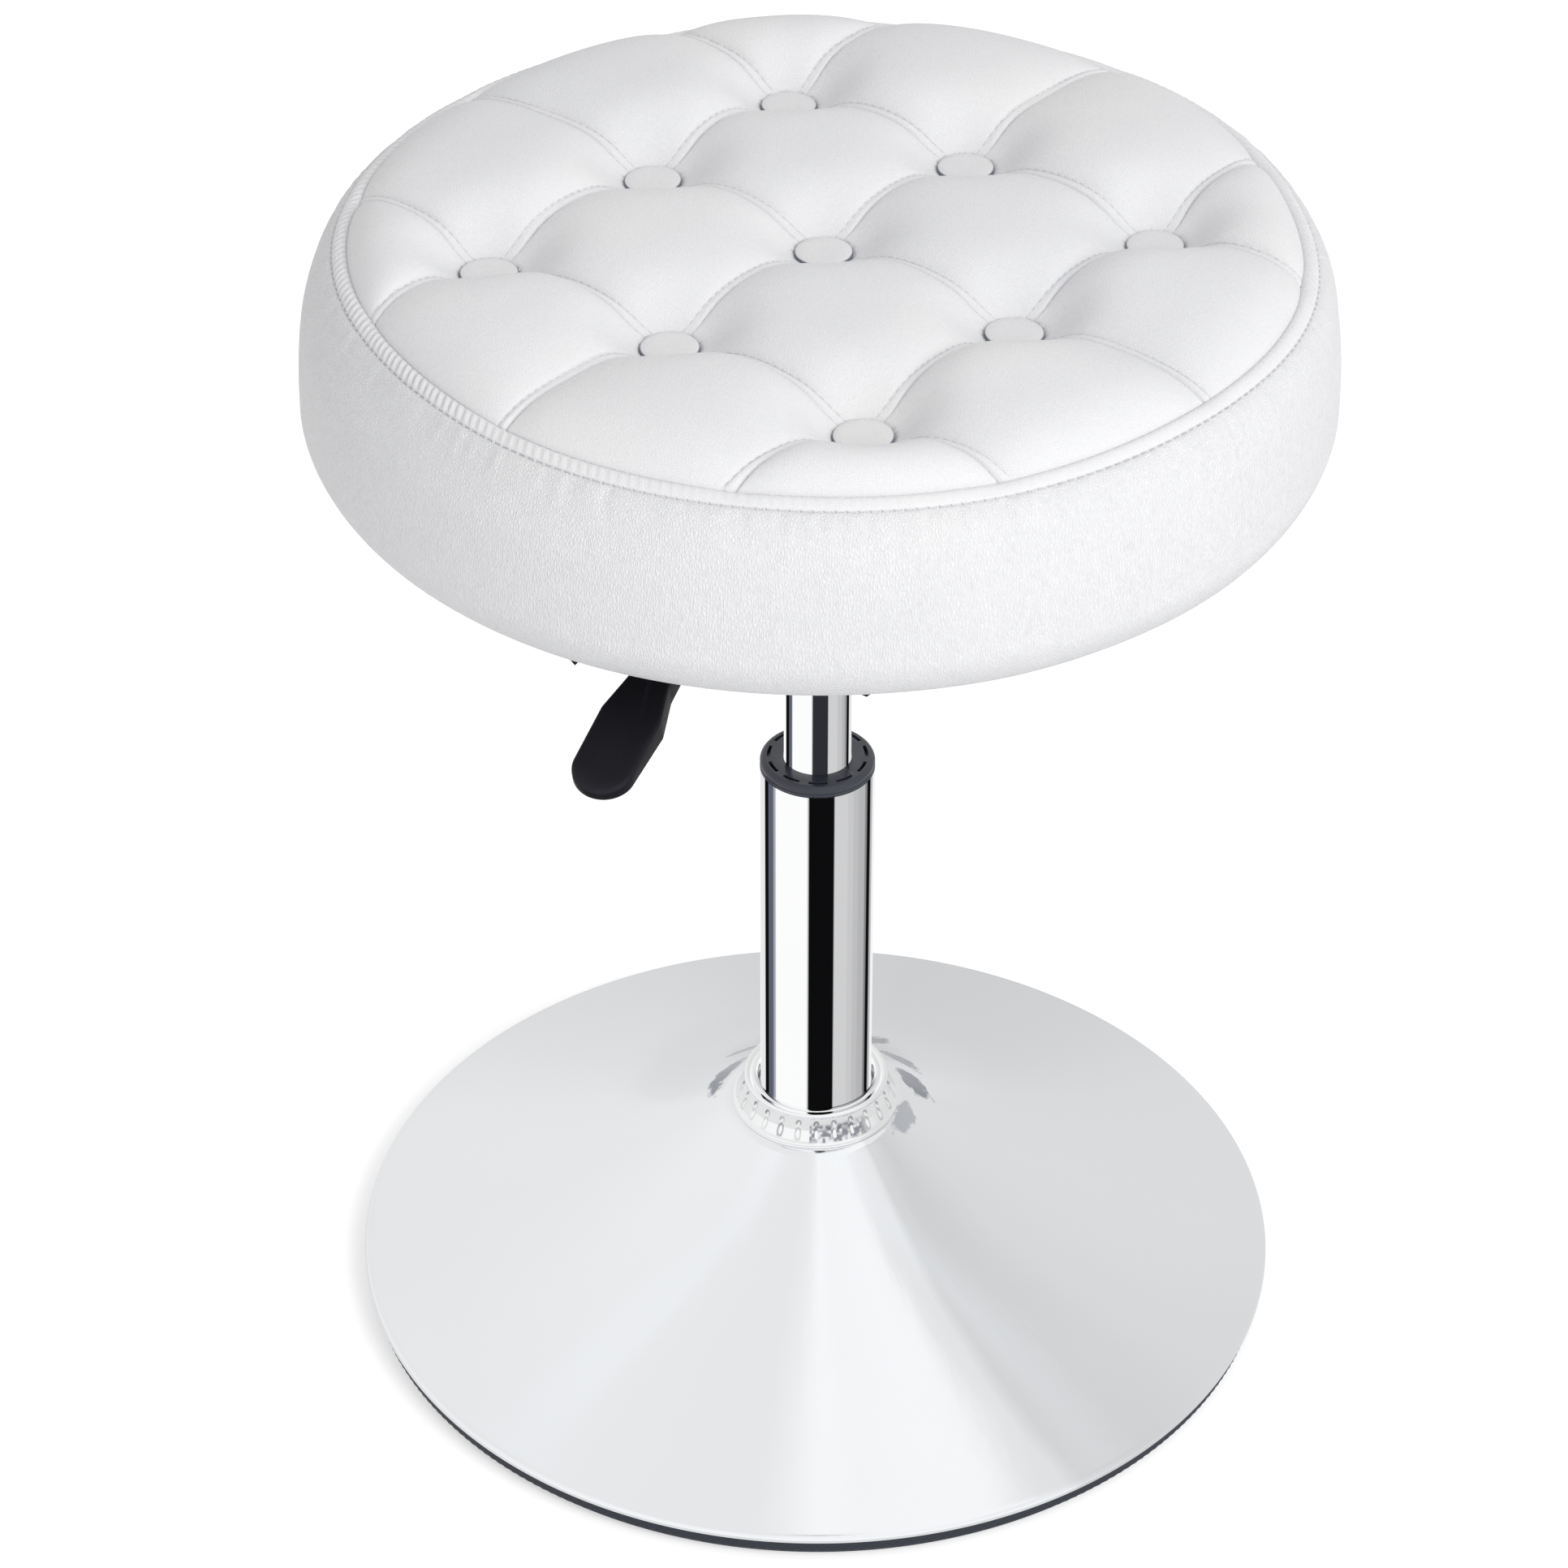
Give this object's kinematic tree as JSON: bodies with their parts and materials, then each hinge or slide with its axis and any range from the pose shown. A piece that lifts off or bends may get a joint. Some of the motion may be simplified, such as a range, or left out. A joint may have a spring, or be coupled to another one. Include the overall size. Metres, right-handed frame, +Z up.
{
  "type": "swivel vanity stool",
  "caption": "Round button-tufted swivel stool on a gas-lift column with a chromed trumpet base and a height lever under the seat.",
  "frame": {"origin": "on the floor, on the axis of the column, under the middle of the seat", "axes": "+Z up along the column, -Y towards the front of the stool, +X to the right as seen from the front"},
  "size_m": [0.4072, 0.4072, 0.521],
  "materials": {
    "white_leather": "satin",
    "button_leather": "satin",
    "foam": "matte",
    "plywood": "matte",
    "dust_cloth": "matte",
    "twine": "matte",
    "chrome": "polished",
    "zinc_steel": "satin",
    "raw_steel": "matte",
    "black_steel": "satin",
    "slate_plastic": "satin",
    "black_plastic": "satin",
    "guide_plastic": "matte",
    "washer_plastic": "matte",
    "black_rubber": "matte",
    "brass_cage": "satin"
  },
  "bodies": {
    "base": {"floor_ring": "black_rubber", "weight_plate": "raw_steel", "base_dish": "chrome", "base_socket": "raw_steel", "base_collar": "chrome", "outer_column": "chrome", "column_end_plate": "raw_steel", "guide_bush": "guide_plastic", "column_cap_ring": "slate_plastic", "bearing_lower_race": "zinc_steel", "rod_washer": "zinc_steel"},
    "bearing": {"bearing_cage": "brass_cage", "bearing_balls": "zinc_steel"},
    "spindle": {"piston_rod": "chrome", "piston": "zinc_steel", "piston_seal": "black_rubber", "bearing_upper_race": "zinc_steel", "bump_stop": "black_rubber", "rod_clip": "raw_steel"},
    "seat": {"gas_cylinder": "chrome", "rod_guide_seal": "black_rubber", "mechanism_plate": "black_steel", "mechanism_hub": "black_steel", "lever_bracket": "black_steel", "lever_pivot_pin": "zinc_steel", "mounting_bolts": "zinc_steel", "bolt_washers": "zinc_steel", "tee_nuts": "zinc_steel", "seat_board": "plywood", "seat_foam": "foam", "seat_top_panel": "white_leather", "seat_side_band": "white_leather", "tuft_buttons": "button_leather", "tuft_ties": "twine", "tie_washers": "washer_plastic", "dust_cover": "dust_cloth", "cover_staples": "zinc_steel"},
    "lever": {"lever_arm": "black_steel", "lever_grip": "black_plastic"},
    "release": {"release_pin": "guide_plastic"}
  },
  "joints": [
    {"name": "seat_swivel", "type": "hinge", "parent": "base", "child": "spindle", "pos_m": [0, 0, 0.03], "axis": [0, 0, 1], "continuous": true},
    {"name": "bearing_spin", "type": "hinge", "parent": "base", "child": "bearing", "pos_m": [0, 0, 0.03], "axis": [0, 0, 1], "continuous": true},
    {"name": "height_slide", "type": "slide", "parent": "spindle", "child": "seat", "axis": [0, 0, 1], "range_m": [-0.088, 0.015]},
    {"name": "lever_lift", "type": "hinge", "parent": "seat", "child": "lever", "pos_m": [-0.01183, -0.02538, 0.41259], "axis": [-0.9063, 0.4226, 0], "range_deg": [0, 5.5], "stiffness_Nm_per_rad": 1, "springref_deg": -5.73},
    {"name": "pin_press", "type": "slide", "parent": "seat", "child": "release", "axis": [0, 0, 1], "range_m": [-0.0027, 0]}
  ],
  "couplings": [
    {"joint": "bearing_spin", "follows": "seat_swivel", "ratio": 0.5},
    {"joint": "pin_press", "follows": "lever_lift", "m_per_rad": -0.028}
  ]
}
